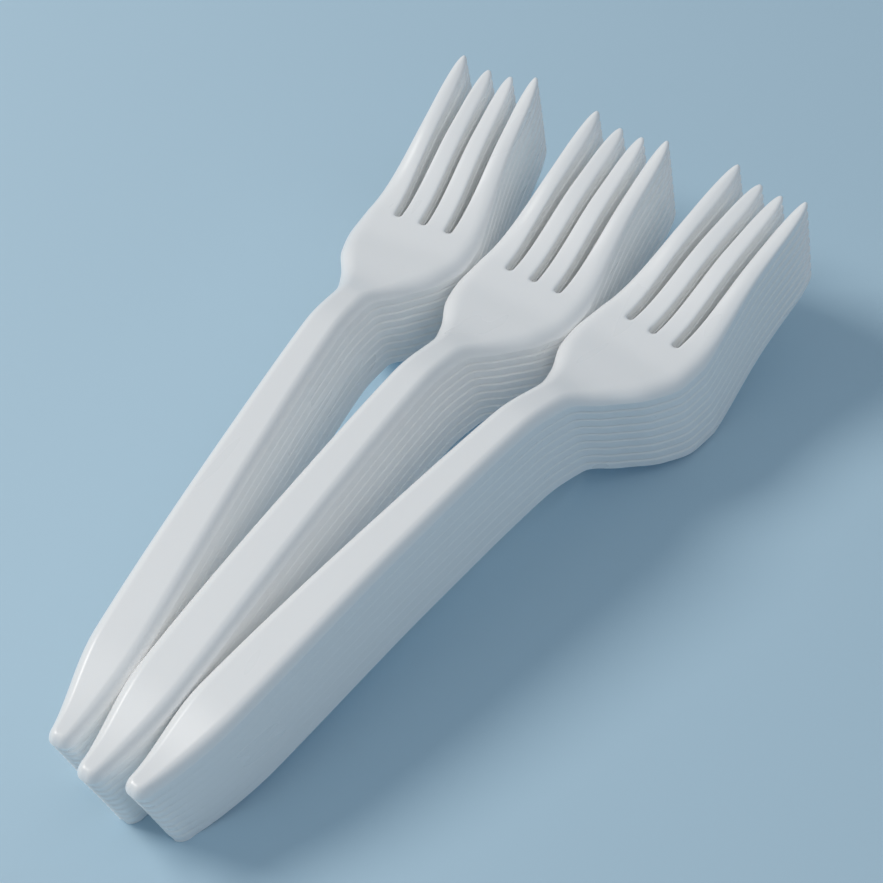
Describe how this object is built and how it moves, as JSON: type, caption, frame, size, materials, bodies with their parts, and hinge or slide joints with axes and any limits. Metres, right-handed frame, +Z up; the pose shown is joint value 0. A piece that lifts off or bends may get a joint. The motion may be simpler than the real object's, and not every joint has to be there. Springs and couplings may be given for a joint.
{
  "type": "nested stacks of disposable plastic forks",
  "caption": "Identical white disposable forks with four tines, nested into equal stacks that lie side by side in a fan with their handle ends together.",
  "frame": {"origin": "middle of the footprint's box, on the surface that the stacks rest on", "axes": "+X along the middle stack from the handle ends to the tines, +Y to the left of it, +Z up"},
  "size_m": [0.1734, 0.0796, 0.0382],
  "materials": {
    "white_plastic": "smooth satin gloss, injection moulded, slightly translucent at thin edges"
  },
  "bodies": {
    "root": {"left_fork_1": "white_plastic", "left_fork_2": "white_plastic", "left_fork_3": "white_plastic", "left_fork_4": "white_plastic", "left_fork_5": "white_plastic", "left_fork_6": "white_plastic", "left_fork_7": "white_plastic", "left_fork_8": "white_plastic", "left_fork_9": "white_plastic", "middle_fork_1": "white_plastic", "middle_fork_2": "white_plastic", "middle_fork_3": "white_plastic", "middle_fork_4": "white_plastic", "middle_fork_5": "white_plastic", "middle_fork_6": "white_plastic", "middle_fork_7": "white_plastic", "middle_fork_8": "white_plastic", "middle_fork_9": "white_plastic", "right_fork_1": "white_plastic", "right_fork_2": "white_plastic", "right_fork_3": "white_plastic", "right_fork_4": "white_plastic", "right_fork_5": "white_plastic", "right_fork_6": "white_plastic", "right_fork_7": "white_plastic", "right_fork_8": "white_plastic", "right_fork_9": "white_plastic"}
  },
  "joints": []
}
